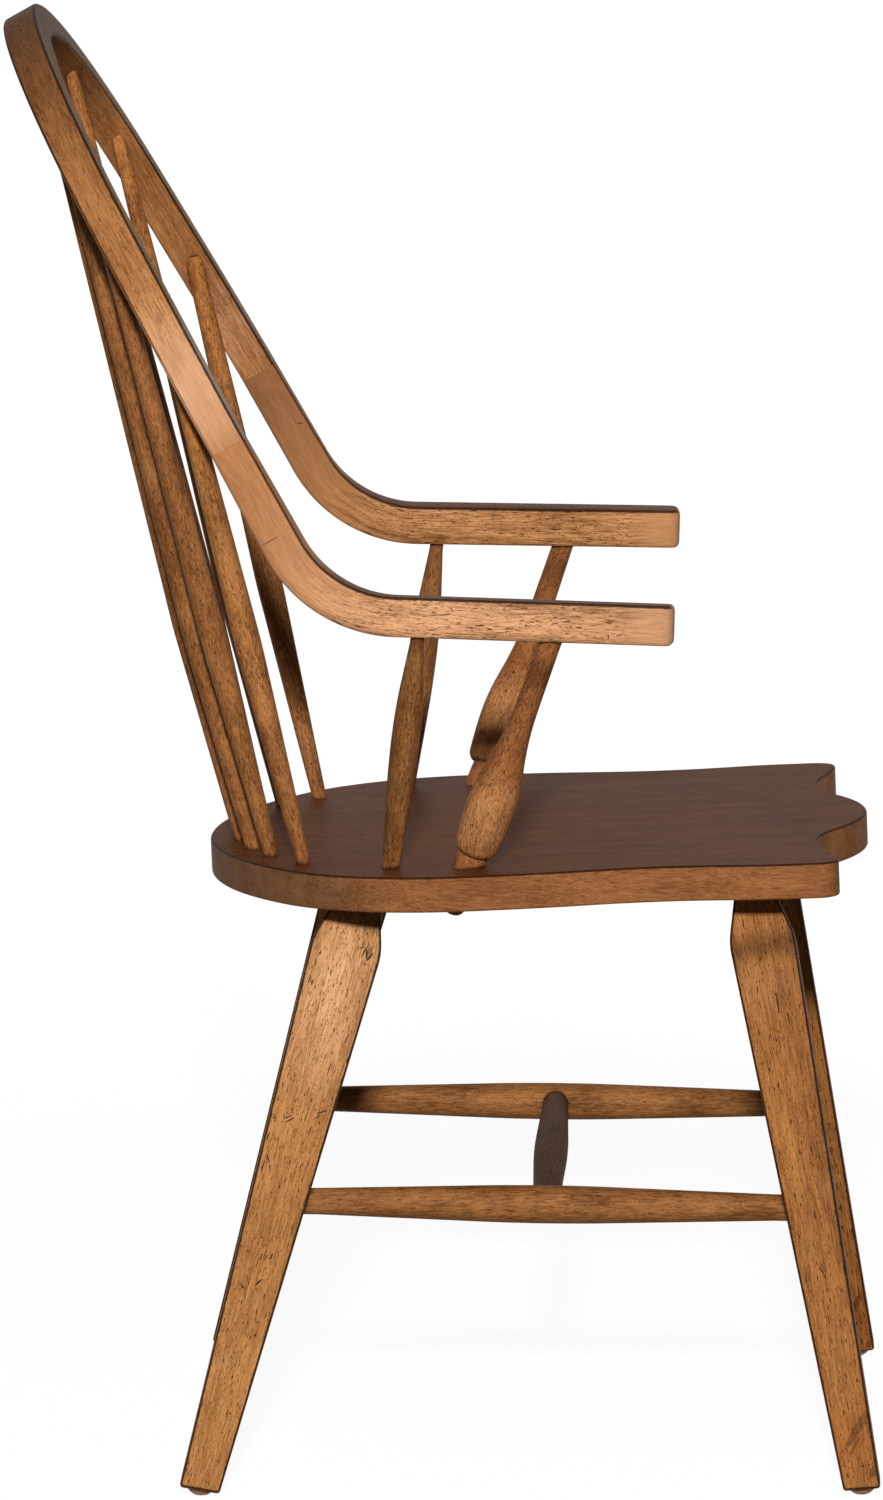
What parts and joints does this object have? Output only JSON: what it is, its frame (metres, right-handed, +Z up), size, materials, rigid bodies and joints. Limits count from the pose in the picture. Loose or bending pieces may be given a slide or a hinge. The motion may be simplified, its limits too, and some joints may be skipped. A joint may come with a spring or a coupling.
{
  "type": "windsor armchair",
  "caption": "Wooden armchair with a shaped plank seat, splayed square legs joined by stretchers, a hoop back filled with spindles and a turned post under each sawn arm.",
  "frame": {"origin": "on the floor, under the middle of the chair's overall width and depth", "axes": "+Z up, the sitter faces -Y, +X to the sitter's left"},
  "size_m": [0.6042, 0.6417, 1.0499],
  "materials": {
    "frame_wood": "satin lacquer over golden brown stain",
    "seat_wood": "satin lacquer over dark brown stain",
    "glide_plastic": "pale translucent plastic, worn"
  },
  "bodies": {
    "root": {"arm_left": "frame_wood", "arm_post_left": "frame_wood", "arm_post_right": "frame_wood", "arm_right": "frame_wood", "arm_spindle_left": "frame_wood", "arm_spindle_right": "frame_wood", "back_bow": "frame_wood", "back_spindle_1_left": "frame_wood", "back_spindle_1_right": "frame_wood", "back_spindle_2_left": "frame_wood", "back_spindle_2_right": "frame_wood", "back_spindle_3_left": "frame_wood", "back_spindle_3_right": "frame_wood", "back_spindle_4_left": "frame_wood", "back_spindle_4_right": "frame_wood", "back_spindle_middle": "frame_wood", "cross_stretcher": "frame_wood", "front_glide_left": "glide_plastic", "front_glide_right": "glide_plastic", "front_leg_left": "frame_wood", "front_leg_right": "frame_wood", "rear_glide_left": "glide_plastic", "rear_glide_right": "glide_plastic", "rear_leg_left": "frame_wood", "rear_leg_right": "frame_wood", "seat": "seat_wood", "side_stretcher_left": "frame_wood", "side_stretcher_right": "frame_wood"}
  },
  "joints": []
}
